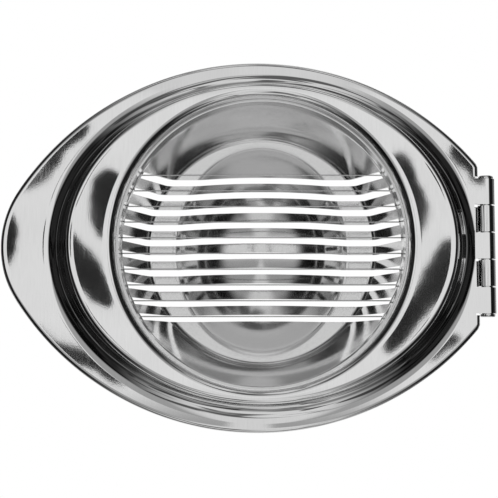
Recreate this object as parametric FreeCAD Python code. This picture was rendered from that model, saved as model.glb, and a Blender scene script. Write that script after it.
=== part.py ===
"""Egg slicer of pressed steel sheet: a tray with a slotted egg cradle and a hinged lid of cutting wires.

Millimetres. Z is up, the oval foot stands on z = 0, the hinge is at +X and the lifting nose at -X.
The lid is closed as drawn.
"""
import math
import os

import FreeCAD
import Part
from FreeCAD import Vector

os.makedirs("parts", exist_ok=True)

# Sheet and overall plan
SHEET = 0.8
LENGTH = 157.5
HALF_WIDTH = 59.0
NOSE_RADIUS = 31.7
WIDEST_X = 2.9
CORNER_RADIUS = 2.5
CUT_MARGIN = 1.0

# Hinge
BARREL_RADIUS = 2.75
PIN_CLEARANCE = 0.05
KNUCKLE_COUNT = 5
HINGE_WIDTH = 43.4
KNUCKLE_GAP = 0.4
CURL_END = 215.0
NOTCH_CLEARANCE = 1.4
HEAD_RADIUS = 2.4
HEAD_THICKNESS = 0.9
HEAD_EDGE = 0.6

# Heights
FLANGE_Z = 13.0
RIM_GAP = 0.3
WIRE_Z = 13.3
LID_STEP = 4.0
SKIRT_BELOW_WIRE = 1.5

# Tray: the flat left round the oval mouth, the run of its wall, and the flat left round the upstand
NOSE_TAB = 18.3
END_TAB = 4.3
SIDE_FLANGE = 8.6
WALL_RUN_X = 4.5
WALL_RUN_Y = 0.8
FOOT_SIDE = 4.1
FOOT_EDGE = 1.5
FLANGE_BEND = 6.0
RIM_BEND = 1.4
LIP_BEND = 2.4
UPSTAND_HEIGHT = 9.5

# Cradle
CRADLE_SEAT = 0.05
CRADLE_FOOT_Z = 5.0
SHOULDER_Z = 11.2
CREST_Z = 31.2
FLANK_RUN = 7.3
SHOULDER_BEND = 8.0
CREST_BEND = 3.0
HOLLOW_BEND = 2.0
HOLLOW_DEPTH = 9.7
CREST_LAND_X = 10.7
CREST_LAND_Y = 5.2
SLOT_WIDTH = 2.1
SLOT_FLOOR_Z = 12.5

# Lid
LID_SIDE_FLANGE = 5.5
LID_RUN_X = 3.7
LID_RUN_Y = 2.0
LID_BEND = 2.5
LID_EDGE = 1.5
SKIRT_GAP = 1.1

# Wires
WIRE_COUNT = 10
WIRE_PITCH = 5.0
WIRE_DIAMETER = 0.4
WIRE_HOLE_CLEARANCE = 0.1
CRIMP_RADIUS = 0.8
CRIMP_LENGTH = 2.2
CRIMP_EDGE = 0.3
CRIMP_CLEARANCE = 0.02
WIRE_TAIL = 0.5

# Worked out from the sizes above
NOSE_X = -LENGTH / 2
AXIS_X = LENGTH / 2 - BARREL_RADIUS
AXIS_Z = FLANGE_Z + BARREL_RADIUS
END_X = AXIS_X - BARREL_RADIUS
MOUTH_HALF_X = (END_X - NOSE_X - NOSE_TAB - END_TAB) / 2
BOWL_X = NOSE_X + NOSE_TAB + MOUTH_HALF_X
MOUTH_OVAL = (MOUTH_HALF_X, HALF_WIDTH - SIDE_FLANGE)
FOOT_OVAL = (MOUTH_OVAL[0] - WALL_RUN_X, MOUTH_OVAL[1] - WALL_RUN_Y)
UPSTAND_RADIUS = FOOT_OVAL[1] - FOOT_SIDE
CREST_RADIUS = UPSTAND_RADIUS - FLANK_RUN
HOLLOW_HALF_X = CREST_RADIUS - CREST_LAND_X
HOLLOW_HALF_Y = CREST_RADIUS - CREST_LAND_Y
LID_OUTER_OVAL = (MOUTH_HALF_X, HALF_WIDTH - LID_SIDE_FLANGE)
LID_INNER_OVAL = (LID_OUTER_OVAL[0] - LID_RUN_X, LID_OUTER_OVAL[1] - LID_RUN_Y)
SKIRT_RADIUS = UPSTAND_RADIUS + SHEET + SKIRT_GAP
BORE_RADIUS = BARREL_RADIUS - SHEET
LID_Z = AXIS_Z + BARREL_RADIUS
RIM_TOP_Z = AXIS_Z - RIM_GAP / 2
LID_RIM_Z = AXIS_Z + RIM_GAP / 2
LID_TOP_Z = LID_Z + LID_STEP
SKIRT_Z = WIRE_Z - SKIRT_BELOW_WIRE
KNUCKLE_PITCH = HINGE_WIDTH / KNUCKLE_COUNT
WIRE_YS = [(i - (WIRE_COUNT - 1) / 2) * WIRE_PITCH for i in range(WIRE_COUNT)]
UP = Vector(0, 0, 1)
BOWL = Vector(BOWL_X, 0, 0)


def almond(inset, z):
    """Closed outline of the sheet: round nose, two long arcs, and a straight end with round corners."""
    reach = WIDEST_X - NOSE_X - NOSE_RADIUS
    side_radius = (reach ** 2 + HALF_WIDTH ** 2 - NOSE_RADIUS ** 2) / (2 * (HALF_WIDTH - NOSE_RADIUS))
    side_y = HALF_WIDTH - side_radius
    corner_x = END_X - CORNER_RADIUS
    corner_run = corner_x - WIDEST_X
    corner_y = side_y + math.sqrt((side_radius - CORNER_RADIUS) ** 2 - corner_run ** 2)
    side = Vector(WIDEST_X, side_y, z)
    nose = Vector(NOSE_X + NOSE_RADIUS, 0, z)
    corner = Vector(corner_x, corner_y, z)
    nose_out = (nose - side).normalize()
    corner_out = (corner - side).normalize()
    nose_end = side + nose_out * (side_radius - inset)
    top = side + Vector(0, side_radius - inset, 0)
    side_end = side + corner_out * (side_radius - inset)
    corner_turn = (corner_out + Vector(1, 0, 0)).normalize()
    corner_mid = corner + corner_turn * (CORNER_RADIUS - inset)
    corner_end = Vector(END_X - inset, corner_y, z)

    def mirror(p):
        return Vector(p.x, -p.y, p.z)

    tip = Vector(NOSE_X + inset, 0, z)
    edges = [
        Part.Arc(mirror(nose_end), tip, nose_end).toShape(),
        Part.Arc(nose_end, top, side_end).toShape(),
        Part.Arc(side_end, corner_mid, corner_end).toShape(),
        Part.makeLine(corner_end, mirror(corner_end)),
        Part.Arc(mirror(corner_end), mirror(corner_mid), mirror(side_end)).toShape(),
        Part.Arc(mirror(side_end), mirror(top), mirror(nose_end)).toShape(),
    ]
    return Part.Wire(edges)


def almond_block(inset, z_low, z_high):
    return Part.Face(almond(inset, z_low)).extrude(UP * (z_high - z_low))


def oval_block(low, high, inset, z_low, z_high):
    """Tapered oval between two ellipses, drawn in by the inset."""
    wires = []
    for (half_x, half_y), z in ((low, z_low), (high, z_high)):
        ellipse = Part.Ellipse(Vector(BOWL_X, 0, z), half_x - inset, half_y - inset)
        wires.append(Part.Wire([ellipse.toShape()]))
    return Part.makeLoft(wires, True, True)


def edges_at(shape, z):
    """Edges that lie in the level plane at z."""
    near = 0.01
    return [e for e in shape.Edges if abs(e.BoundBox.ZMin - z) < near and abs(e.BoundBox.ZMax - z) < near]


def pressed_sheet(block, block_in, oval, oval_in, flange_z, flange_in_z, oval_z, oval_in_z, bend, edge):
    """Pressing of one flange with a turned rim and one oval step: an outer form less an inner form."""
    forms = []
    for body, step, level, step_level, offset in (
        (block, oval, flange_z, oval_z, 0.0),
        (block_in, oval_in, flange_in_z, oval_in_z, SHEET),
    ):
        body = body.makeFillet(RIM_BEND - offset, edges_at(body, level))
        step = step.makeFillet(edge - offset, edges_at(step, step_level))
        form = body.fuse(step).removeSplitter()
        corner = [e for e in edges_at(form, level) if e.isClosed()]
        forms.append(form.makeFillet(bend + offset, corner))
    return forms[0].cut(forms[1])


def lip_ring(radius, flat_z, end_z):
    """Round wall turned out of a flat sheet: bend at the flat, then straight to its free end."""
    way = 1 if end_z > flat_z else -1
    centre_r = radius + LIP_BEND
    centre_z = flat_z + way * LIP_BEND
    diagonal = math.sqrt(0.5)

    def at(r, z):
        return Vector(BOWL_X + r, 0, z)

    def bend_point(bend):
        return at(centre_r - diagonal * bend, centre_z - way * diagonal * bend)

    inner = LIP_BEND - SHEET
    outer_flat = at(centre_r, flat_z + way * SHEET)
    edges = [
        Part.Arc(at(centre_r, flat_z), bend_point(LIP_BEND), at(radius, centre_z)).toShape(),
        Part.makeLine(at(radius, centre_z), at(radius, end_z)),
        Part.makeLine(at(radius, end_z), at(radius + SHEET, end_z)),
        Part.makeLine(at(radius + SHEET, end_z), at(radius + SHEET, centre_z)),
        Part.Arc(at(radius + SHEET, centre_z), bend_point(inner), outer_flat).toShape(),
        Part.makeLine(outer_flat, at(centre_r, flat_z)),
    ]
    return Part.Face(Part.Wire(edges)).revolve(BOWL, UP, 360)


def knuckle_span(index):
    start = -HINGE_WIDTH / 2 + index * KNUCKLE_PITCH
    return start + KNUCKLE_GAP / 2, start + KNUCKLE_PITCH - KNUCKLE_GAP / 2


def knuckle(index, way, root_x):
    """Tab of the sheet curled round the pin: way 1 curls up from below, -1 curls down from above."""

    def on(radius, degrees):
        turn = math.radians(degrees)
        return Vector(AXIS_X + radius * math.cos(turn), 0, AXIS_Z + way * radius * math.sin(turn))

    start = -90.0
    middle = (start + CURL_END) / 2
    low = AXIS_Z - way * BARREL_RADIUS
    high = AXIS_Z - way * BORE_RADIUS
    edges = [
        Part.Arc(on(BARREL_RADIUS, start), on(BARREL_RADIUS, middle), on(BARREL_RADIUS, CURL_END)).toShape(),
        Part.makeLine(on(BARREL_RADIUS, CURL_END), on(BORE_RADIUS, CURL_END)),
        Part.Arc(on(BORE_RADIUS, CURL_END), on(BORE_RADIUS, middle), on(BORE_RADIUS, start)).toShape(),
        Part.makeLine(on(BORE_RADIUS, start), Vector(root_x, 0, high)),
        Part.makeLine(Vector(root_x, 0, high), Vector(root_x, 0, low)),
        Part.makeLine(Vector(root_x, 0, low), on(BARREL_RADIUS, start)),
    ]
    low_y, high_y = knuckle_span(index)
    tab = Part.Face(Part.Wire(edges)).extrude(Vector(0, high_y - low_y, 0))
    tab.translate(Vector(0, low_y, 0))
    return tab


def hinge_end(sheet, own, way):
    """Cut the sheet's end back along the hinge and add its own curled knuckles."""
    root_x = END_X - NOTCH_CLEARANCE
    width = HINGE_WIDTH + 2 * KNUCKLE_GAP
    reach = BARREL_RADIUS + CUT_MARGIN
    corner = Vector(root_x, -width / 2, AXIS_Z - reach)
    sheet = sheet.cut(Part.makeBox(NOTCH_CLEARANCE + CUT_MARGIN, width, 2 * reach, corner))
    for index in own:
        sheet = sheet.fuse(knuckle(index, way, root_x))
    return sheet.removeSplitter()


def base_tray():
    flange_in_z = FLANGE_Z + SHEET
    above = RIM_TOP_Z + CUT_MARGIN
    mid_oval = [m + (m - f) * SHEET / FLANGE_Z for m, f in zip(MOUTH_OVAL, FOOT_OVAL)]
    sheet = pressed_sheet(
        almond_block(0, FLANGE_Z, RIM_TOP_Z),
        almond_block(SHEET, flange_in_z, above),
        oval_block(FOOT_OVAL, MOUTH_OVAL, 0, 0, FLANGE_Z),
        oval_block(FOOT_OVAL, mid_oval, SHEET, SHEET, flange_in_z),
        FLANGE_Z, flange_in_z, 0, SHEET, FLANGE_BEND, FOOT_EDGE,
    )
    lip_radius = UPSTAND_RADIUS + LIP_BEND
    sheet = sheet.cut(Part.makeCylinder(lip_radius, SHEET + 2 * CUT_MARGIN, BOWL - UP * CUT_MARGIN))
    sheet = sheet.fuse(lip_ring(UPSTAND_RADIUS, 0, UPSTAND_HEIGHT))
    return hinge_end(sheet, (0, 2, 4), 1)


def lid_frame():
    flange_in_z = LID_Z - SHEET
    sheet = pressed_sheet(
        almond_block(0, LID_RIM_Z, LID_Z),
        almond_block(SHEET, LID_RIM_Z - CUT_MARGIN, flange_in_z),
        oval_block(LID_OUTER_OVAL, LID_INNER_OVAL, 0, LID_Z, LID_TOP_Z),
        oval_block(LID_OUTER_OVAL, LID_INNER_OVAL, SHEET, flange_in_z, LID_TOP_Z - SHEET),
        LID_Z, flange_in_z, LID_TOP_Z, LID_TOP_Z - SHEET, LID_BEND, LID_EDGE,
    )
    lip_radius = SKIRT_RADIUS + LIP_BEND
    low = BOWL + UP * (LID_TOP_Z - SHEET - CUT_MARGIN)
    sheet = sheet.cut(Part.makeCylinder(lip_radius, SHEET + 2 * CUT_MARGIN, low))
    sheet = sheet.fuse(lip_ring(SKIRT_RADIUS, LID_TOP_Z, SKIRT_Z))
    sheet = hinge_end(sheet, (1, 3), -1)
    hole_radius = WIRE_DIAMETER / 2 + WIRE_HOLE_CLEARANCE
    drill = 2 * (SKIRT_RADIUS + SHEET + CUT_MARGIN)
    for y in WIRE_YS:
        start = Vector(BOWL_X - drill / 2, y, WIRE_Z)
        sheet = sheet.cut(Part.makeCylinder(hole_radius, drill, start, Vector(1, 0, 0)))
    return sheet


def cup(inset):
    """Turned form of the cradle, or of the space inside it, before the egg hollow."""
    slope = math.atan2(UPSTAND_RADIUS - CREST_RADIUS, CREST_Z - SHOULDER_Z)
    skirt_r = UPSTAND_RADIUS - CRADLE_SEAT - inset
    crest_z = CREST_Z - inset
    shoulder_z = SHOULDER_Z - inset * math.tan(slope / 2)
    crest_r = skirt_r - (crest_z - shoulder_z) * math.tan(slope)
    foot_z = CRADLE_FOOT_Z - (CUT_MARGIN if inset else 0)
    points = [(0, foot_z), (skirt_r, foot_z), (skirt_r, shoulder_z), (crest_r, crest_z), (0, crest_z)]
    corners = [Vector(BOWL_X + r, 0, z) for r, z in points]
    form = Part.Face(Part.makePolygon(corners + corners[:1])).revolve(BOWL, UP, 360)
    form = form.makeFillet(SHOULDER_BEND - inset, edges_at(form, shoulder_z))
    return form.makeFillet(CREST_BEND - inset, edges_at(form, crest_z))


def egg(grow):
    """Egg-shaped tool for the hollow: an ellipse turned about its long axis, which lies along Y."""
    girth = (HOLLOW_HALF_X ** 2 + HOLLOW_DEPTH ** 2) / (2 * HOLLOW_DEPTH)
    centre_z = CREST_Z - HOLLOW_DEPTH + girth
    rise = (centre_z - CREST_Z) / girth
    half_length = HOLLOW_HALF_Y / math.sqrt(1 - rise ** 2)
    centre = Vector(BOWL_X, 0, centre_z)
    long_end = centre + Vector(0, half_length + grow, 0)
    short_end = centre + Vector(0, 0, girth + grow)
    ellipse = Part.Ellipse(long_end, short_end, centre)
    half = Part.ArcOfEllipse(ellipse, 0, math.pi).toShape()
    axis = Part.makeLine(half.Vertexes[1].Point, half.Vertexes[0].Point)
    return Part.Face(Part.Wire([half, axis])).revolve(centre, Vector(0, 1, 0), 360)


def egg_cradle():
    forms = []
    for inset in (0.0, SHEET):
        form = cup(inset).cut(egg(inset))
        rim = [e for e in edges_at(form, CREST_Z - inset) if not isinstance(e.Curve, Part.Circle)]
        forms.append(form.makeFillet(HOLLOW_BEND - inset, rim))
    sheet = forms[0].cut(forms[1])
    reach = UPSTAND_RADIUS + CUT_MARGIN
    for y in WIRE_YS:
        corner = Vector(BOWL_X - reach, y - SLOT_WIDTH / 2, SLOT_FLOOR_Z)
        sheet = sheet.cut(Part.makeBox(2 * reach, SLOT_WIDTH, CREST_Z, corner))
    return sheet


def crimp_start(y):
    """How far along X from the bowl's centre the skirt's outside lies at this wire."""
    return math.sqrt((SKIRT_RADIUS + SHEET) ** 2 - y ** 2)


def crimp_end(y):
    return math.sqrt((SKIRT_RADIUS + SHEET) ** 2 - (abs(y) - CRIMP_RADIUS) ** 2) + CRIMP_LENGTH


def crimp(y, way):
    """Sleeve on a wire's end, its face coped to the skirt that it bears on."""
    along = Vector(way, 0, 0)
    length = crimp_end(y) - crimp_start(abs(y) + CRIMP_RADIUS)
    start = Vector(BOWL_X + way * crimp_start(abs(y) + CRIMP_RADIUS), y, WIRE_Z)
    sleeve = Part.makeCylinder(CRIMP_RADIUS, length, start, along)
    end = [e for e in sleeve.Edges if abs(e.CenterOfMass.x - start.x) > length - CRIMP_EDGE]
    sleeve = sleeve.makeFillet(CRIMP_EDGE, end)
    sleeve = sleeve.cut(Part.makeCylinder(WIRE_DIAMETER / 2 + CRIMP_CLEARANCE, length, start, along))
    skirt = SKIRT_RADIUS + SHEET + CRIMP_CLEARANCE
    reach = CRIMP_RADIUS + CUT_MARGIN
    return sleeve.cut(Part.makeCylinder(skirt, 2 * reach, BOWL + UP * (WIRE_Z - reach)))


def cutting_wire(y):
    half = crimp_end(y) + WIRE_TAIL
    start = Vector(BOWL_X - half, y, WIRE_Z)
    return Part.makeCylinder(WIRE_DIAMETER / 2, 2 * half, start, Vector(1, 0, 0))


def hinge_pin():
    """Pin through the knuckles with a peened head at each end."""
    pin_radius = BORE_RADIUS - PIN_CLEARANCE
    half = HINGE_WIDTH / 2
    pin = Part.makeCylinder(pin_radius, HINGE_WIDTH, Vector(AXIS_X, -half, AXIS_Z), Vector(0, 1, 0))
    for way in (-1, 1):
        seat = Vector(AXIS_X, way * half, AXIS_Z)
        head = Part.makeCylinder(HEAD_RADIUS, HEAD_THICKNESS, seat, Vector(0, way, 0))
        outer = [e for e in head.Edges if abs(e.CenterOfMass.y) > half + HEAD_EDGE]
        pin = pin.fuse(head.makeFillet(HEAD_EDGE, outer))
    return pin.removeSplitter()


shapes = {
    "base_tray": base_tray(),
    "egg_cradle": egg_cradle(),
    "lid_frame": lid_frame(),
    "hinge_pin": hinge_pin(),
}
for number, y in enumerate(WIRE_YS, 1):
    shapes["cutting_wire_%02d" % number] = cutting_wire(y)
    shapes["crimp_nose_%02d" % number] = crimp(y, -1)
    shapes["crimp_hinge_%02d" % number] = crimp(y, 1)

for name, shape in shapes.items():
    print(name, len(shape.Solids), shape.isValid(), round(shape.Volume, 2))
    shape.Solids[0].exportStep("parts/%s.step" % name)
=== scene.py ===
import math

import bpy
import numpy as np
from mathutils import Matrix, Vector


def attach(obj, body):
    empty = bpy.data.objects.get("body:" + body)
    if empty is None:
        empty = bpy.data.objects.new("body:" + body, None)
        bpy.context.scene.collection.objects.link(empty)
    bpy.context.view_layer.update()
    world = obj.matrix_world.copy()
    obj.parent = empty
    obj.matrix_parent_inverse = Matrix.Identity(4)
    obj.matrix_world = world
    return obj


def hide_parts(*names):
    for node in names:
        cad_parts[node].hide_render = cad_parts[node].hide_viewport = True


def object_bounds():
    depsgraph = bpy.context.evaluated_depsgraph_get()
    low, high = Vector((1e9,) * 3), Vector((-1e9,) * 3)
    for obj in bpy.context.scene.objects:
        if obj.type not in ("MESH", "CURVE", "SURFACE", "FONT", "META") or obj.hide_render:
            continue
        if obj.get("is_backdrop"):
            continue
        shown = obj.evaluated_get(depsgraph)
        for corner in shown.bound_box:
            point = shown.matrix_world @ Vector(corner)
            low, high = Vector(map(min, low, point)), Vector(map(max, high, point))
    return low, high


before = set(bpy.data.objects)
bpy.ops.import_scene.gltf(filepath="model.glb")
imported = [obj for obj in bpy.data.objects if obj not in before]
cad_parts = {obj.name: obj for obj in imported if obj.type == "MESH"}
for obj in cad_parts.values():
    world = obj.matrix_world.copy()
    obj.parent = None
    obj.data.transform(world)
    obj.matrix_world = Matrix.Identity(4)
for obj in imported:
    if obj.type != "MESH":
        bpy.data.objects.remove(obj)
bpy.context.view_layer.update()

# Base tray: one pressing of mirror-polished stainless sheet. An almond flange with a turned-up rim drops
# in an oval step to a flat foot, and the sheet turns up again round the cradle's opening.
# Three tabs at its end are curled round the hinge pin.
MM = 0.001
SHEET = 0.8
AROUND = 360
LENGTH = 157.5
HALF_WIDTH = 59.0
NOSE_RADIUS = 31.7
WIDEST_X = 2.9
CORNER_RADIUS = 2.5
BOWL_X = 4.25
BARREL_RADIUS = 2.75
HINGE_WIDTH = 43.4
NOTCH_SPARE = 5.0
FLANGE_Z = 13.0
RIM_GAP = 0.3
RIM_BEND = 1.4
FOOT_OVAL = (60.2, 49.6)
MOUTH_OVAL = (64.7, 50.4)
FLANGE_BEND = 6.0
FOOT_EDGE = 1.5
LIP_BEND = 2.4
UPSTAND_RADIUS = 45.5
UPSTAND_HEIGHT = 9.5
NOSE_X = -LENGTH / 2
AXIS_X = LENGTH / 2 - BARREL_RADIUS
AXIS_Z = FLANGE_Z + BARREL_RADIUS
END_X = AXIS_X - BARREL_RADIUS
ARC_POINTS = 400
RIM_ROWS = 10
FLANGE_ROWS = 14
BEND_ROWS = 14
EDGE_ROWS = 12
FOOT_ROWS = 8
WALL_ROWS = 4
WELD = 1e-6
theta = np.linspace(0, 2 * math.pi, AROUND + 1)
ray = np.stack([np.cos(theta), np.sin(theta)], axis=1)


def almond():
    """Points of the almond outline and their outward normals, on the rays from the bowl's centre."""
    reach = WIDEST_X - NOSE_X - NOSE_RADIUS
    side_radius = (reach ** 2 + HALF_WIDTH ** 2 - NOSE_RADIUS ** 2) / (2 * (HALF_WIDTH - NOSE_RADIUS))
    side_y = HALF_WIDTH - side_radius
    corner_x = END_X - CORNER_RADIUS
    corner_y = side_y + math.sqrt((side_radius - CORNER_RADIUS) ** 2 - (corner_x - WIDEST_X) ** 2)
    corner_turn = math.atan2(corner_y - side_y, corner_x - WIDEST_X)
    nose_turn = math.atan2(-side_y, NOSE_X + NOSE_RADIUS - WIDEST_X)
    arcs = [
        (corner_x, corner_y, CORNER_RADIUS, 0.0, corner_turn),
        (WIDEST_X, side_y, side_radius, corner_turn, nose_turn),
        (NOSE_X + NOSE_RADIUS, 0.0, NOSE_RADIUS, nose_turn, math.pi),
    ]
    upper = [np.array([[END_X, 0.0, 1.0, 0.0]])]
    for x, y, radius, start, end in arcs:
        turn = np.linspace(start, end, ARC_POINTS)
        normal = np.stack([np.cos(turn), np.sin(turn)], axis=1)
        upper.append(np.hstack([np.array([x, y]) + radius * normal, normal]))
    upper = np.vstack(upper)
    lower = upper[::-1] * np.array([1, -1, 1, -1])
    loop = np.vstack([upper, lower[1:]])
    angle = np.unwrap(np.arctan2(loop[:, 1], loop[:, 0] - BOWL_X))
    found = [np.interp(theta, angle, loop[:, k]) for k in range(4)]
    normal = np.stack(found[2:], axis=1)
    normal /= np.linalg.norm(normal, axis=1, keepdims=True)
    plan = np.stack(found[:2], axis=1)
    spare = np.clip(1 - (plan[:, 1] / (HINGE_WIDTH / 2)) ** 2, 0, 1) * (plan[:, 0] > BOWL_X)
    plan[:, 0] += NOTCH_SPARE * spare
    return plan, normal


def oval(half_x, half_y):
    """Points of an ellipse round the bowl and their outward normals, on the same rays."""
    reach = 1 / np.sqrt((ray[:, 0] / half_x) ** 2 + (ray[:, 1] / half_y) ** 2)
    point = ray * reach[:, None]
    normal = point / np.array([half_x ** 2, half_y ** 2])
    normal /= np.linalg.norm(normal, axis=1, keepdims=True)
    return point + np.array([BOWL_X, 0]), normal


def ring(plan, z):
    """One row of the pressing: plan points with their height, in metres."""
    height = np.broadcast_to(np.asarray(z, dtype=float), (len(plan),))
    return np.hstack([plan, height[:, None]]) * MM


def step_rows(outer, inner, outer_z, inner_z, outer_bend, inner_bend):
    """Rows of an oval step: bend out of the flange, slanted wall, and bend into the flat inside it."""
    plan, normal = oval(*inner)
    wide = oval(*outer)[0]
    run = np.linalg.norm(wide - plan, axis=1)
    drop = abs(outer_z - inner_z)
    way = 1 if outer_z > inner_z else -1
    turn = np.arctan2(drop, run)
    shift = outer_bend * np.tan(turn / 2)
    edge = inner_bend * np.tan(turn / 2)
    rows = []
    for part in np.linspace(0, 1, BEND_ROWS):
        a = math.pi / 2 + turn * part
        out = run + shift + outer_bend * np.cos(a)
        rows.append(ring(plan + normal * out[:, None], outer_z + way * outer_bend * (np.sin(a) - 1)))
    for part in np.linspace(0, 1, EDGE_ROWS):
        a = -math.pi / 2 + turn * (1 - part)
        out = -edge + inner_bend * np.cos(a)
        rows.append(ring(plan + normal * out[:, None], inner_z + way * inner_bend * (1 + np.sin(a))))
    return rows, plan - normal * edge[:, None]


def flange_rows(edge_z, flange_z):
    """Rows of the turned rim, its bend, and the flat flange up to where the step begins."""
    plan, normal = almond()
    way = 1 if edge_z > flange_z else -1
    rows = [ring(plan, edge_z), ring(plan, (edge_z + flange_z + way * RIM_BEND) / 2)]
    for a in np.linspace(0, math.pi / 2, RIM_ROWS):
        inset = RIM_BEND * (1 - math.cos(a))
        rows.append(ring(plan - normal * inset, flange_z + way * RIM_BEND * (1 - math.sin(a))))
    return rows


def between(first, last, steps):
    """Rows spread evenly from one row to another, without either."""
    return [first + (last - first) * part for part in np.linspace(0, 1, steps + 2)[1:-1]]


def lip_rows(flat_plan, radius, flat_z, end_z):
    """Rows of the flat up to the opening, the lip's bend, and the round wall to its free edge."""
    way = 1 if end_z > flat_z else -1
    centre = np.array([BOWL_X, 0])
    mouth = ring(centre + ray * (radius + LIP_BEND), flat_z)
    rows = between(ring(flat_plan, flat_z), mouth, FOOT_ROWS)
    for a in np.linspace(math.pi / 2, math.pi, EDGE_ROWS):
        reach = radius + LIP_BEND * (1 + math.cos(a))
        rows.append(ring(centre + ray * reach, flat_z + way * LIP_BEND * (1 - math.sin(a))))
    wall = ring(centre + ray * radius, flat_z + way * LIP_BEND)
    end = ring(centre + ray * radius, end_z)
    return rows + between(wall, end, WALL_ROWS) + [end]


def press(name, rows, flip):
    """A sheet of quads set to the rows, welded where its ends meet, and given the sheet's thickness."""
    bpy.ops.object.select_all(action="DESELECT")
    count = len(rows[0])
    bpy.ops.mesh.primitive_grid_add(x_subdivisions=count - 1, y_subdivisions=len(rows) - 1, size=1)
    piece = bpy.context.object
    piece.name = name
    piece.data.vertices.foreach_set("co", np.vstack(rows).ravel())
    bpy.ops.object.mode_set(mode="EDIT")
    bpy.ops.mesh.select_all(action="SELECT")
    bpy.ops.mesh.remove_doubles(threshold=WELD)
    if flip:
        bpy.ops.mesh.flip_normals()
    bpy.ops.object.mode_set(mode="OBJECT")
    bpy.ops.object.transform_apply(location=True, rotation=True, scale=True)
    thick = piece.modifiers.new("sheet", "SOLIDIFY")
    thick.thickness = SHEET * MM
    thick.offset = -1
    thick.use_even_offset = True
    bpy.ops.object.modifier_apply(modifier=thick.name)
    return piece


def boxes(name, corners):
    """One mesh of plain boxes, used as a cutter."""
    made = []
    for low, high in corners:
        bpy.ops.object.select_all(action="DESELECT")
        middle = [(a + b) / 2 * MM for a, b in zip(low, high)]
        bpy.ops.mesh.primitive_cube_add(size=1, location=middle)
        bpy.context.object.scale = [(b - a) * MM for a, b in zip(low, high)]
        bpy.ops.object.transform_apply(location=True, rotation=True, scale=True)
        made.append(bpy.context.object)
    for cutter in made:
        cutter.select_set(True)
    if len(made) > 1:
        bpy.ops.object.join()
    bpy.context.object.name = name
    return bpy.context.object


def cut(piece, cutter):
    """Takes the cutter out of the piece and removes it."""
    hollow = piece.modifiers.new("cut", "BOOLEAN")
    hollow.operation = "DIFFERENCE"
    hollow.solver = "MANIFOLD"
    hollow.object = cutter
    bpy.ops.object.select_all(action="DESELECT")
    bpy.context.view_layer.objects.active = piece
    piece.select_set(True)
    bpy.ops.object.modifier_apply(modifier=hollow.name)
    bpy.data.objects.remove(cutter, do_unlink=True)


KNUCKLE_COUNT = 5
KNUCKLE_GAP = 0.4
KNUCKLE_COLUMNS = 13
CURL_START = -90.0
CURL_END = 215.0
CURL_ROWS = 61
TAB_ROWS = 5
TAB_SHARE = 0.9
NOTCH_CLEARANCE = 1.4
NOTCH_REACH = 10.0
SHARP_ANGLE = 35.0
root_x = END_X - NOTCH_CLEARANCE


def knuckle(index, way):
    """Tab curled round the pin: way 1 curls up from the tray's flange, -1 down from the lid's."""
    pitch = HINGE_WIDTH / KNUCKLE_COUNT
    low_y = -HINGE_WIDTH / 2 + index * pitch + KNUCKLE_GAP / 2
    high_y = low_y + pitch - KNUCKLE_GAP
    across = np.linspace(low_y, high_y, KNUCKLE_COLUMNS)
    tab_z = AXIS_Z - way * BARREL_RADIUS
    tab_end_x = root_x + (AXIS_X - root_x) * TAB_SHARE
    profile = [(x, tab_z) for x in np.linspace(root_x, tab_end_x, TAB_ROWS)]
    for degrees in np.linspace(CURL_START, CURL_END, CURL_ROWS):
        turn = math.radians(degrees)
        x = AXIS_X + BARREL_RADIUS * math.cos(turn)
        profile.append((x, AXIS_Z + way * BARREL_RADIUS * math.sin(turn)))
    rows = [np.array([(x, y, z) for y in across]) * MM for x, z in profile]
    return press("knuckle", rows, way < 0)


def join(piece, others):
    """Makes the others part of the piece's mesh."""
    bpy.ops.object.select_all(action="DESELECT")
    for other in others:
        other.select_set(True)
    piece.select_set(True)
    bpy.context.view_layer.objects.active = piece
    bpy.ops.object.join()


def smooth(piece):
    """Smooth shading, with edges kept where the sheet is cut."""
    bpy.ops.object.select_all(action="DESELECT")
    piece.select_set(True)
    bpy.context.view_layer.objects.active = piece
    bpy.ops.object.shade_smooth_by_angle(angle=math.radians(SHARP_ANGLE))


def cut_notch(sheet):
    """Clears the end of a sheet's flange for the five knuckles."""
    half = HINGE_WIDTH / 2 + KNUCKLE_GAP
    low = (root_x, -half, AXIS_Z - NOTCH_REACH)
    high = (root_x + NOTCH_REACH, half, AXIS_Z + NOTCH_REACH)
    cut(sheet, boxes("notch", [(low, high)]))


rim_z = AXIS_Z - RIM_GAP / 2
step, foot_plan = step_rows(MOUTH_OVAL, FOOT_OVAL, FLANGE_Z, 0, FLANGE_BEND, FOOT_EDGE)
rows = flange_rows(rim_z, FLANGE_Z)
rows += between(rows[-1], step[0], FLANGE_ROWS) + step
rows += lip_rows(foot_plan, UPSTAND_RADIUS, 0, UPSTAND_HEIGHT)
tray = press("tray_sheet", rows, True)
cut_notch(tray)
join(tray, [knuckle(index, 1) for index in (0, 2, 4)])
smooth(tray)


CLOUD_SCALE = 60
CLOUD_DETAIL = 4
LINE_DETAIL = 2
UNEVEN_SCALE = 2500
UNEVEN_DETAIL = 2
UNEVEN_STRENGTH = 0.003
UNEVEN_DEPTH = 0.0002
CLOUD_TONE = (0.3, 0.7, 0.95, 1.0)
LINE_TONE = (0.35, 0.65, 1.0, 0.97)
CLOUD_WEAR = (0.3, 0.7, 0.7, 1.5)
LINE_WEAR = (0.4, 0.7, 0.9, 1.2)


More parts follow.
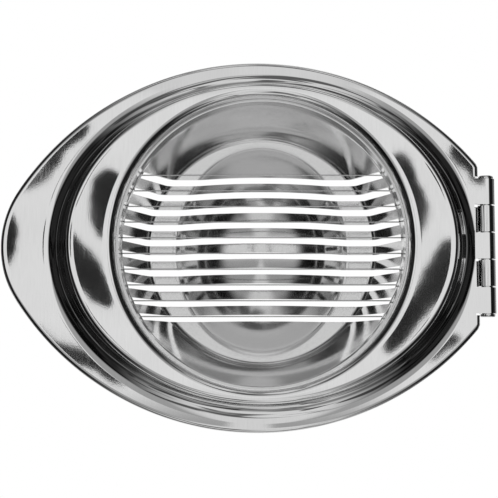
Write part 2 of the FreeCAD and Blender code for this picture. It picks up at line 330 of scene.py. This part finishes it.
def marks_group():
    """Node group of worked steel: cloudy polish, lines along the grain and a fine uneven surface."""
    group = bpy.data.node_groups.new("steel marks", "ShaderNodeTree")
    for socket, kind in (("Grey", "Float"), ("Polish", "Float"), ("Grain", "Vector")):
        group.interface.new_socket(socket, in_out="INPUT", socket_type="NodeSocket" + kind)
    for socket, kind in (("Color", "Color"), ("Roughness", "Float"), ("Normal", "Vector")):
        group.interface.new_socket(socket, in_out="OUTPUT", socket_type="NodeSocket" + kind)
    nodes, links = group.nodes, group.links
    given = nodes.new("NodeGroupInput")
    place = nodes.new("ShaderNodeTexCoord").outputs["Object"]

    def noise(vector, scale, detail):
        node = nodes.new("ShaderNodeTexNoise")
        node.inputs["Scale"].default_value = scale
        node.inputs["Detail"].default_value = detail
        links.new(vector, node.inputs["Vector"])
        return node.outputs["Fac"]

    def spread(value, start, end, low, high):
        node = nodes.new("ShaderNodeMapRange")
        links.new(value, node.inputs["Value"])
        for name, number in zip(("From Min", "From Max", "To Min", "To Max"), (start, end, low, high)):
            node.inputs[name].default_value = number
        return node.outputs["Result"]

    def both(operation, first, second):
        node = nodes.new("ShaderNodeMath")
        node.operation = operation
        links.new(first, node.inputs[0])
        links.new(second, node.inputs[1])
        return node.outputs["Value"]

    drawn = nodes.new("ShaderNodeVectorMath")
    drawn.operation = "MULTIPLY"
    links.new(place, drawn.inputs[0])
    links.new(given.outputs["Grain"], drawn.inputs[1])
    cloud = noise(place, CLOUD_SCALE, CLOUD_DETAIL)
    lines = noise(drawn.outputs["Vector"], 1, LINE_DETAIL)
    tone = both("MULTIPLY", spread(cloud, *CLOUD_TONE), spread(lines, *LINE_TONE))
    tone = both("MULTIPLY", tone, given.outputs["Grey"])
    grey = nodes.new("ShaderNodeCombineColor")
    for channel in grey.inputs:
        links.new(tone, channel)
    worn = both("MULTIPLY", spread(cloud, *CLOUD_WEAR), spread(lines, *LINE_WEAR))
    bump = nodes.new("ShaderNodeBump")
    bump.inputs["Strength"].default_value = UNEVEN_STRENGTH
    bump.inputs["Distance"].default_value = UNEVEN_DEPTH
    links.new(noise(place, UNEVEN_SCALE, UNEVEN_DETAIL), bump.inputs["Height"])
    out = nodes.new("NodeGroupOutput")
    links.new(grey.outputs["Color"], out.inputs["Color"])
    links.new(both("MULTIPLY", worn, given.outputs["Polish"]), out.inputs["Roughness"])
    links.new(bump.outputs["Normal"], out.inputs["Normal"])
    return group


steel_marks = marks_group()


def steel(name, grey, polish, grain):
    """Stainless steel of one grey and polish; the grain is its lines a metre along X, Y and Z."""
    material = bpy.data.materials.new(name)
    material.use_nodes = True
    nodes, links = material.node_tree.nodes, material.node_tree.links
    shader = nodes["Principled BSDF"]
    shader.inputs["Metallic"].default_value = 1
    marks = nodes.new("ShaderNodeGroup")
    marks.node_tree = steel_marks
    marks.inputs["Grey"].default_value = grey
    marks.inputs["Polish"].default_value = polish
    marks.inputs["Grain"].default_value = grain
    links.new(marks.outputs["Color"], shader.inputs["Base Color"])
    links.new(marks.outputs["Roughness"], shader.inputs["Roughness"])
    links.new(marks.outputs["Normal"], shader.inputs["Normal"])
    return material


def dress(piece, material):
    """Gives a piece its one material."""
    piece.data.materials.clear()
    piece.data.materials.append(material)


sheet_steel = steel("polished sheet", 0.84, 0.025, (3000, 150, 3000))
dress(tray, sheet_steel)
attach(tray, "base")
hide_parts("base_tray")

# Egg cradle: a drawn cup of the same sheet with an egg-shaped hollow in its crown, pushed into the
# tray's opening. Ten slots run right across it, one for each wire, and leave narrow ribs between them.
CRADLE_SEAT = 0.05
CRADLE_FOOT_Z = 5.0
SHOULDER_Z = 11.2
CREST_Z = 31.2
CREST_RADIUS = 38.2
SHOULDER_BEND = 8.0
CREST_BEND = 3.0
HOLLOW_BEND = 1.2
HOLLOW_DEPTH = 9.7
HOLLOW_HALF_X = 27.5
HOLLOW_HALF_Y = 33.0
SLOT_WIDTH = 2.1
SLOT_FLOOR_Z = 12.5
SLOT_REACH = 50.0
SLOT_OVER = 5.0
SHOULDER_ROWS = 8
FLANK_ROWS = 14
CROWN_ROWS = 64
WIRE_COUNT = 10
WIRE_PITCH = 5.0
wire_ys = [(i - (WIRE_COUNT - 1) / 2) * WIRE_PITCH for i in range(WIRE_COUNT)]
skirt_r = UPSTAND_RADIUS - CRADLE_SEAT
slope = math.atan2(UPSTAND_RADIUS - CREST_RADIUS, CREST_Z - SHOULDER_Z)
crest_r = skirt_r - (CREST_Z - SHOULDER_Z) * math.tan(slope)


def turned(r, z):
    """One round row of the cup."""
    return ring(np.array([BOWL_X, 0]) + ray * r, z)


def crown_height(plan):
    """Height of the crown: the flat crest and the egg hollow, with a rounded brow where they meet."""
    girth = (HOLLOW_HALF_X ** 2 + HOLLOW_DEPTH ** 2) / (2 * HOLLOW_DEPTH)
    centre_z = CREST_Z - HOLLOW_DEPTH + girth
    rise = (centre_z - CREST_Z) / girth
    half_length = HOLLOW_HALF_Y / math.sqrt(1 - rise ** 2)
    inside = 1 - ((plan[:, 0] - BOWL_X) / girth) ** 2 - (plan[:, 1] / half_length) ** 2
    hollow = centre_z - girth * np.sqrt(np.maximum(inside, 0))
    near = np.maximum(HOLLOW_BEND - np.abs(hollow - CREST_Z), 0) / HOLLOW_BEND
    return np.minimum(hollow, CREST_Z) - near ** 2 * HOLLOW_BEND / 4


shoulder_run = SHOULDER_BEND * math.tan(slope / 2)
crest_turn = math.pi / 2 - slope
crest_run = CREST_BEND * math.tan(crest_turn / 2)
rows = [turned(skirt_r, z) for z in np.linspace(CRADLE_FOOT_Z, SHOULDER_Z - shoulder_run, WALL_ROWS)]
for a in np.linspace(0, slope, SHOULDER_ROWS)[1:]:
    r = skirt_r - SHOULDER_BEND * (1 - math.cos(a))
    rows.append(turned(r, SHOULDER_Z - shoulder_run + SHOULDER_BEND * math.sin(a)))
crest_flat = crest_r - crest_run
brow = [
    turned(crest_flat + CREST_BEND * math.cos(a), CREST_Z - CREST_BEND * (1 - math.sin(a)))
    for a in np.linspace(slope, math.pi / 2, EDGE_ROWS)
]
rows += between(rows[-1], brow[0], FLANK_ROWS) + brow
for r in np.linspace(crest_flat, 0, CROWN_ROWS)[1:]:
    plan = np.array([BOWL_X, 0]) + ray * r
    rows.append(ring(plan, crown_height(plan)))
cradle = press("cradle_sheet", rows, False)
slots = []
for y in wire_ys:
    low = (BOWL_X - SLOT_REACH, y - SLOT_WIDTH / 2, SLOT_FLOOR_Z)
    high = (BOWL_X + SLOT_REACH, y + SLOT_WIDTH / 2, CREST_Z + SLOT_OVER)
    slots.append((low, high))
cut(cradle, boxes("slots", slots))
smooth(cradle)
cradle_steel = steel("drawn cup", 0.72, 0.12, (1500, 1500, 100))
dress(cradle, cradle_steel)
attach(cradle, "base")
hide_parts("egg_cradle")

# Lid frame: a second pressing over the tray, with a turned-down rim, an oval step up to a flat ring and a
# round skirt that hangs down round the cradle, drilled for the wires. Two tabs at its end share the pin.
LID_STEP = 4.0
LID_OUTER_OVAL = (64.7, 53.5)
LID_INNER_OVAL = (61.0, 51.5)
LID_BEND = 2.5
LID_EDGE = 1.5
SKIRT_RADIUS = 47.4
WIRE_Z = 13.3
SKIRT_BELOW_WIRE = 1.5
WIRE_HOLE = 0.6
HOLE_REACH = 50.0
HOLE_SIDES = 24
lid_z = AXIS_Z + BARREL_RADIUS
lid_top_z = lid_z + LID_STEP
step, ring_plan = step_rows(LID_OUTER_OVAL, LID_INNER_OVAL, lid_z, lid_top_z, LID_BEND, LID_EDGE)
rows = flange_rows(AXIS_Z + RIM_GAP / 2, lid_z)
rows += between(rows[-1], step[0], FLANGE_ROWS) + step
rows += lip_rows(ring_plan, SKIRT_RADIUS, lid_top_z, WIRE_Z - SKIRT_BELOW_WIRE)
lid = press("lid_sheet", rows, False)
cut_notch(lid)
holes = []
for y in wire_ys:
    bpy.ops.object.select_all(action="DESELECT")
    bpy.ops.mesh.primitive_cylinder_add(
        vertices=HOLE_SIDES, radius=WIRE_HOLE / 2 * MM, depth=2 * HOLE_REACH * MM,
        location=(BOWL_X * MM, y * MM, WIRE_Z * MM), rotation=(0, math.pi / 2, 0))
    bpy.ops.object.transform_apply(location=True, rotation=True, scale=True)
    holes.append(bpy.context.object)
join(holes[0], holes[1:])
cut(lid, holes[0])
join(lid, [knuckle(index, -1) for index in (1, 3)])
smooth(lid)
dress(lid, sheet_steel)
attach(lid, "lid")
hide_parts("lid_frame")

# Cutting wires: ten straight drawn stainless wires stretched across the lid's skirt, one over each slot.
# They are the CAD wires, with fine drawing lines along them.
wire_steel = steel("drawn wire", 0.66, 0.16, (40, 4000, 4000))
for name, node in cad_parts.items():
    if name.startswith("cutting_wire"):
        dress(node, wire_steel)

# Crimps: twenty short sleeves pressed on the wire ends behind the skirt, of a duller steel.
# They are the CAD sleeves, with an even, fine tumbled surface.
crimp_steel = steel("pressed sleeve", 0.62, 0.22, (2000, 2000, 2000))
for name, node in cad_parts.items():
    if name.startswith("crimp"):
        dress(node, crimp_steel)

# Hinge pin: a round pin through the five knuckles, with a peened head at each end.
# It is the CAD pin, with turning lines round it.
pin_steel = steel("turned pin", 0.72, 0.08, (60, 3000, 60))
dress(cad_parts["hinge_pin"], pin_steel)

# Stage: a plain pale floor just under the foot, seen only from above, so that the photograph's view of the
# underside looks through it.
FLOOR_SIZE = 20.0
FLOOR_DROP = 0.0004
FLOOR_GREY = 0.86
FLOOR_ROUGHNESS = 0.9
bpy.ops.object.select_all(action="DESELECT")
bpy.ops.mesh.primitive_plane_add(size=FLOOR_SIZE, location=(0, 0, -FLOOR_DROP))
floor = bpy.context.object
floor.name = "floor"
floor_paint = bpy.data.materials.new("pale floor")
floor_paint.use_nodes = True
nodes, links = floor_paint.node_tree.nodes, floor_paint.node_tree.links
paint = nodes["Principled BSDF"]
paint.inputs["Base Color"].default_value = (FLOOR_GREY, FLOOR_GREY, FLOOR_GREY, 1)
paint.inputs["Roughness"].default_value = FLOOR_ROUGHNESS
face = nodes.new("ShaderNodeNewGeometry")
clear = nodes.new("ShaderNodeBsdfTransparent")
sides = nodes.new("ShaderNodeMixShader")
links.new(face.outputs["Backfacing"], sides.inputs["Fac"])
links.new(paint.outputs["BSDF"], sides.inputs[1])
links.new(clear.outputs["BSDF"], sides.inputs[2])
links.new(sides.outputs["Shader"], nodes["Material Output"].inputs["Surface"])
floor.data.materials.append(floor_paint)
floor.visible_glossy = False
floor.visible_diffuse = False
floor.visible_transmission = False
floor.visible_shadow = False
floor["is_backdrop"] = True

# Light: a white surround that the camera sees whole and the steel sees in part. In the steel, softboxes below
# and towards +Y and -Y are bright, the ends towards +X and -X are dark, and black flags stand in front.
# An even room light and a soft lamp from above fall on the floor.
ROOM_LEVEL = 0.65
LAMP_FROM = Vector((-0.35, -0.3, 1.0))
LAMP_STRENGTH = 1.2
LAMP_SPREAD = 40.0
# Soft steps, each as start, end, level before and level after.
BOX_RIM = (0.78, 0.88, 0.0, 1.0)
BOX_SIDES = (0.105, 0.14, 0.84, 0.38)
BANK_ENDS = (0.5, 0.8, 0.02, 0.75)
BANK_MIDDLE = (0.05, 0.3, 0.35, 1.0)
ROOF_EDGE = (-0.05, 0.15, 0.0, 1.0)
ROOF_GLOW = (0.25, 0.8, 0.14, 0.95)
CLUTTER = (0.40, 0.50, 0.16, 1.0)
CLUTTER_END = (0.80, 0.88, 0.0, 1.0)
FLAG_EDGE = (0.95, 1.05, 0.03, 1.0)
FLAG_END = (0.0, 0.5, 1.0, 0.0)
BOX_OFFSET_Y = 0.10
CLUTTER_SCALE = 3.5
CLUTTER_DETAIL = 1.0
CLUTTER_DISTORTION = 0.6
RIPPLE_SCALE = 22.0
RIPPLE = 0.03
# Flags, each as the direction's X and Y at its middle, its half sizes, and its turn in degrees.
FLAGS = (
    (-0.180, -0.101, 0.010, 0.019, 0),
    (-0.106, -0.128, 0.011, 0.028, 12),
    (-0.125, -0.079, 0.011, 0.027, -29),
    (0.120, -0.134, 0.013, 0.034, -12),
    (0.133, -0.057, 0.011, 0.047, 35),
    (-0.146, -0.162, 0.038, 0.006, -40),
    (-0.127, -0.012, 0.040, 0.007, 35),
    (0.167, -0.164, 0.012, 0.020, -30),
    (0.146, -0.018, 0.018, 0.006, -37),
)
world = bpy.data.worlds.new("studio")
bpy.context.scene.world = world
world.use_nodes = True
nodes, links = world.node_tree.nodes, world.node_tree.links
studio = nodes["Background"]


def world_math(operation, first, second):
    """A math node in the world, with sockets or plain numbers put in."""
    node = nodes.new("ShaderNodeMath")
    node.operation = operation
    for socket, value in zip(node.inputs, (first, second)):
        if isinstance(value, (int, float)):
            socket.default_value = value
        else:
            links.new(value, socket)
    return node.outputs["Value"]


def world_step(value, start, end, low, high):
    """A soft step of the value from low to high."""
    node = nodes.new("ShaderNodeMapRange")
    node.interpolation_type = "SMOOTHSTEP"
    links.new(value, node.inputs["Value"])
    for name, number in zip(("From Min", "From Max", "To Min", "To Max"), (start, end, low, high)):
        node.inputs[name].default_value = number
    return node.outputs["Result"]


direction = nodes.new("ShaderNodeTexCoord")
axes = nodes.new("ShaderNodeSeparateXYZ")
links.new(direction.outputs["Generated"], axes.inputs["Vector"])
side_x = world_math("ABSOLUTE", axes.outputs["X"], 0)
side_y = world_math("ABSOLUTE", axes.outputs["Y"], 0)
height = world_math("ABSOLUTE", axes.outputs["Z"], 0)
down = world_math("MULTIPLY", axes.outputs["Z"], -1)
across_box = world_math("ABSOLUTE", world_math("ADD", axes.outputs["Y"], BOX_OFFSET_Y), 0)
box = world_math("MULTIPLY", world_step(down, *BOX_RIM), world_step(across_box, *BOX_SIDES))
share = world_math("DIVIDE", side_y, world_math("ADD", side_x, side_y))
banks = world_math("MULTIPLY", world_step(share, *BANK_ENDS), world_step(height, *BANK_MIDDLE))
above = world_step(axes.outputs["Z"], *ROOF_EDGE)
roof = world_math("MULTIPLY", above, world_step(axes.outputs["Z"], *ROOF_GLOW))
clutter = nodes.new("ShaderNodeTexNoise")
clutter.inputs["Scale"].default_value = CLUTTER_SCALE
clutter.inputs["Detail"].default_value = CLUTTER_DETAIL
clutter.inputs["Distortion"].default_value = CLUTTER_DISTORTION
links.new(direction.outputs["Generated"], clutter.inputs["Vector"])
clear_of = world_step(clutter.outputs["Fac"], *CLUTTER)
clear_of = world_math("MAXIMUM", clear_of, world_step(down, *CLUTTER_END))
ripple = nodes.new("ShaderNodeTexNoise")
ripple.inputs["Scale"].default_value = RIPPLE_SCALE
links.new(direction.outputs["Generated"], ripple.inputs["Vector"])
shake = nodes.new("ShaderNodeVectorMath")
shake.operation = "MULTIPLY_ADD"
shake.inputs[1].default_value = (RIPPLE, RIPPLE, RIPPLE)
links.new(ripple.outputs["Color"], shake.inputs[0])
links.new(direction.outputs["Generated"], shake.inputs[2])
wavy = nodes.new("ShaderNodeSeparateXYZ")
links.new(shake.outputs["Vector"], wavy.inputs["Vector"])
for middle_x, middle_y, half_x, half_y, degrees in FLAGS:
    cosine = math.cos(math.radians(degrees))
    sine = math.sin(math.radians(degrees))
    off_x = world_math("SUBTRACT", wavy.outputs["X"], middle_x + RIPPLE / 2)
    off_y = world_math("SUBTRACT", wavy.outputs["Y"], middle_y + RIPPLE / 2)
    x_along = world_math("MULTIPLY", off_x, cosine)
    y_along = world_math("MULTIPLY", off_y, sine)
    x_across = world_math("MULTIPLY", off_x, sine)
    y_across = world_math("MULTIPLY", off_y, cosine)
    along = world_math("DIVIDE", world_math("ADD", x_along, y_along), half_x)
    across = world_math("DIVIDE", world_math("SUBTRACT", y_across, x_across), half_y)
    reach = world_math("ADD", world_math("POWER", along, 2), world_math("POWER", across, 2))
    away = world_math("MAXIMUM", world_step(reach, *FLAG_EDGE), world_step(down, *FLAG_END))
    clear_of = world_math("MULTIPLY", clear_of, away)
bright = world_math("MAXIMUM", world_math("MAXIMUM", box, banks), roof)
open_white = world_math("MULTIPLY", bright, clear_of)
white = nodes.new("ShaderNodeBackground")
white.inputs["Color"].default_value = (1, 1, 1, 1)
studio.inputs["Color"].default_value = (1, 1, 1, 1)
kind = nodes.new("ShaderNodeLightPath")
room = world_math("MULTIPLY", world_math("SUBTRACT", 1, kind.outputs["Is Glossy Ray"]), ROOM_LEVEL)
links.new(room, studio.inputs["Strength"])
straight = world_math("ADD", kind.outputs["Is Camera Ray"], kind.outputs["Is Transmission Ray"])
mirrored = world_math("MULTIPLY", kind.outputs["Is Glossy Ray"], open_white)
seen = nodes.new("ShaderNodeMixShader")
links.new(world_math("MINIMUM", world_math("ADD", straight, mirrored), 1), seen.inputs["Fac"])
links.new(studio.outputs["Background"], seen.inputs[1])
links.new(white.outputs["Background"], seen.inputs[2])
links.new(seen.outputs["Shader"], nodes["World Output"].inputs["Surface"])
bpy.ops.object.light_add(type="SUN", location=LAMP_FROM)
lamp = bpy.context.object
lamp.data.energy = LAMP_STRENGTH
lamp.data.angle = math.radians(LAMP_SPREAD)
lamp.visible_glossy = False
lamp.rotation_euler = LAMP_FROM.to_track_quat("Z", "Y").to_euler()

# Camera: under the slicer, a little towards +Y, with the hinge to the right, as the photograph was taken.
CAMERA_DISTANCE = 0.415
CAMERA_FOOT = 0.040
CLIP_START = 0.01
FRAME_WIDTH = 0.1579
TARGET_X = 0.0002
TARGET_Y = 0.0011
target = Vector((TARGET_X, TARGET_Y, WIRE_Z * MM))
back = Vector((0, CAMERA_FOOT, -CAMERA_DISTANCE)).normalized()
right = Vector((1, 0, 0))
up = back.cross(right)
camera_data = bpy.data.cameras.new("camera")
camera = bpy.data.objects.new("camera", camera_data)
bpy.context.scene.collection.objects.link(camera)
turn = Matrix((right, up, back)).transposed().to_4x4()
camera.matrix_world = Matrix.Translation(target + back * CAMERA_DISTANCE) @ turn
camera_data.lens = camera_data.sensor_width * CAMERA_DISTANCE / FRAME_WIDTH
camera_data.clip_start = CLIP_START
bpy.context.scene.camera = camera
bpy.context.scene.view_settings.view_transform = "Standard"

# Size: the bounds of the parts that render, the floor left out.
low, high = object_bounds()
